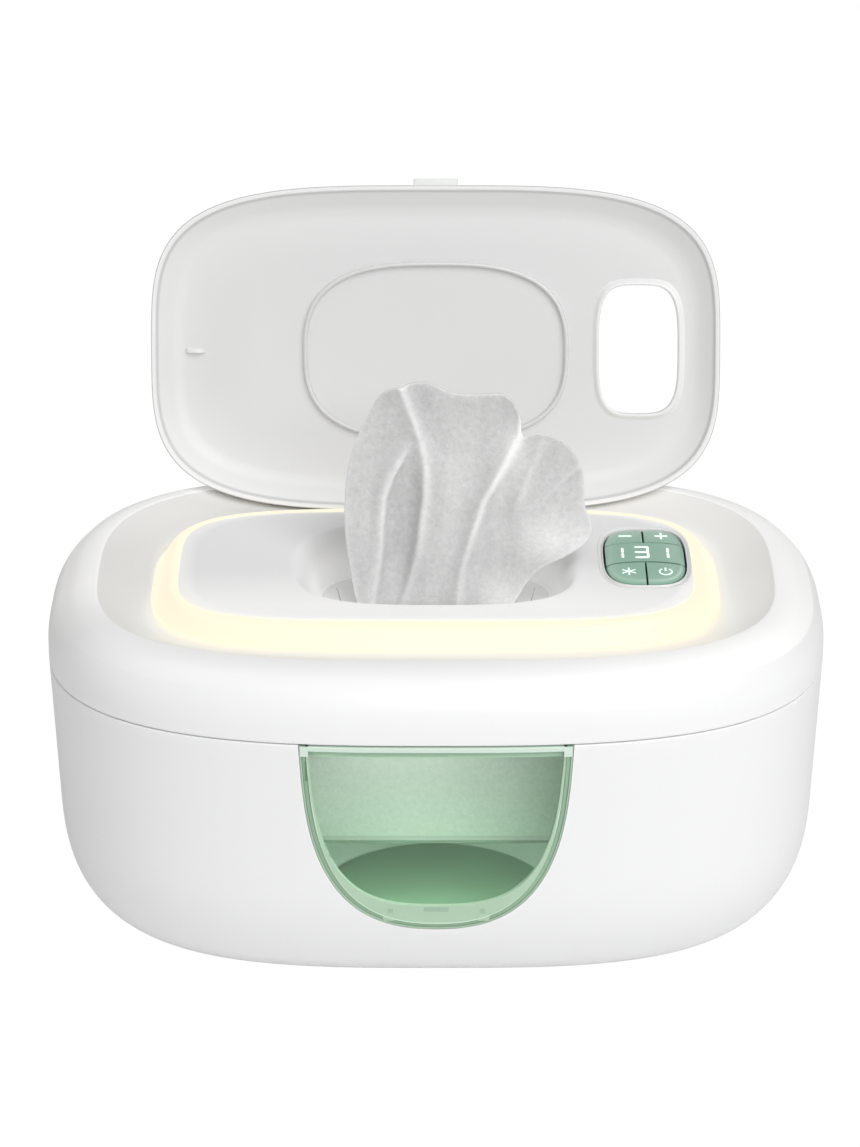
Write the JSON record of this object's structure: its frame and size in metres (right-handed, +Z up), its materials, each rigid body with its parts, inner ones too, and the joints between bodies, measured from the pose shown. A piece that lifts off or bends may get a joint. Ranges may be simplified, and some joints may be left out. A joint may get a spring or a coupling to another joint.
{
  "type": "baby wipe warmer",
  "caption": "Rounded tabletop wipe warmer with hinged cover, lidded pop-up dispenser, glowing ring, key panel and green front window.",
  "frame": {"origin": "middle of the flat resting face under the base", "axes": "+X to the right seen from the front, +Y to the rear where the hinges are, +Z up"},
  "size_m": [0.252, 0.1876, 0.2254],
  "materials": {
    "white_plastic": "smooth satin moulded white plastic",
    "lid_plastic": "satin moulded white plastic",
    "inner_plastic": "matte moulded pale plastic",
    "grey_rubber": "matte grey silicone rubber",
    "clear_silicone": "milky soft silicone",
    "steel": "plated steel",
    "aluminium_plate": "spun satin aluminium",
    "heater_film": "amber film heater",
    "insulation": "felted insulation",
    "black_plastic": "matte black plastic",
    "circuit_board": "lacquered circuit board",
    "warm_light": "milky light guide that glows warm white",
    "green_window": "clear green tinted plastic",
    "green_light_plastic": "translucent pale green plastic",
    "green_key_plastic": "satin sage green plastic with lit symbols",
    "display_digits": "lit digits on a dark ground",
    "wipe_cloth": "damp soft non-woven cloth"
  },
  "bodies": {
    "base": {"base_shell": "white_plastic", "non_slip_pad": "grey_rubber", "bottom_cover": "inner_plastic", "bottom_screws": "steel", "window_frame": "green_light_plastic", "front_window": "green_window", "wipe_tank": "inner_plastic", "heater_plate": "aluminium_plate", "heater_film": "heater_film", "insulation_pad": "insulation", "thermal_fuse": "insulation", "warmth_sensor": "black_plastic", "power_board": "circuit_board", "power_inlet": "black_plastic", "base_hinge_leaf": "white_plastic", "cover_hinge_pin": "steel", "cover_seal": "clear_silicone", "lifter_springs": "steel"},
    "lifter": {"lifter_plate": "green_light_plastic", "wipe_stack": "wipe_cloth"},
    "cover": {"cover_shell": "white_plastic", "cover_hinge_leaf": "white_plastic", "cover_catches": "inner_plastic", "inner_frame": "inner_plastic", "light_strip": "circuit_board", "light_ring": "warm_light", "dispenser_deck": "white_plastic", "funnel": "white_plastic", "slit_membrane": "clear_silicone", "membrane_retainer": "inner_plastic", "control_board": "circuit_board", "key_switches": "black_plastic", "digit_display": "display_digits", "display_lens": "green_key_plastic", "panel_bezel": "white_plastic", "lid_hinge_bracket": "white_plastic", "lid_hinge_pins": "steel", "wipe": "wipe_cloth"},
    "lid": {"lid_shell": "white_plastic", "lid_liner": "lid_plastic", "lid_seal": "lid_plastic", "lid_hinge_leaves": "white_plastic"},
    "minus_button": {"minus_key": "green_key_plastic"},
    "plus_button": {"plus_key": "green_key_plastic"},
    "mode_button": {"mode_key": "green_key_plastic"},
    "power_button": {"power_key": "green_key_plastic"}
  },
  "joints": [
    {"name": "cover_hinge", "type": "hinge", "parent": "base", "child": "cover", "pos_m": [0, 0.0909, 0.1021], "axis": [-1, 0, 0], "range_deg": [0, 75]},
    {"name": "lid_hinge", "type": "hinge", "parent": "cover", "child": "lid", "pos_m": [0, 0.0555, 0.1194], "axis": [1, 0, 0], "range_deg": [0, 109.2], "deforming": ["wipe"]},
    {"name": "lifter_slide", "type": "slide", "parent": "base", "child": "lifter", "axis": [0, 0, 1], "range_m": [-0.03, 0], "stiffness_N_per_m": 200, "springref_m": 0.045, "deforming": ["lifter_springs"]},
    {"name": "minus_press", "type": "slide", "parent": "cover", "child": "minus_button", "axis": [0, 0, 1], "range_m": [-0.0008, 0], "stiffness_N_per_m": 400, "springref_m": 0.0008},
    {"name": "plus_press", "type": "slide", "parent": "cover", "child": "plus_button", "axis": [0, 0, 1], "range_m": [-0.0008, 0], "stiffness_N_per_m": 400, "springref_m": 0.0008},
    {"name": "mode_press", "type": "slide", "parent": "cover", "child": "mode_button", "axis": [0, 0, 1], "range_m": [-0.0008, 0], "stiffness_N_per_m": 400, "springref_m": 0.0008},
    {"name": "power_press", "type": "slide", "parent": "cover", "child": "power_button", "axis": [0, 0, 1], "range_m": [-0.0008, 0], "stiffness_N_per_m": 400, "springref_m": 0.0008}
  ]
}
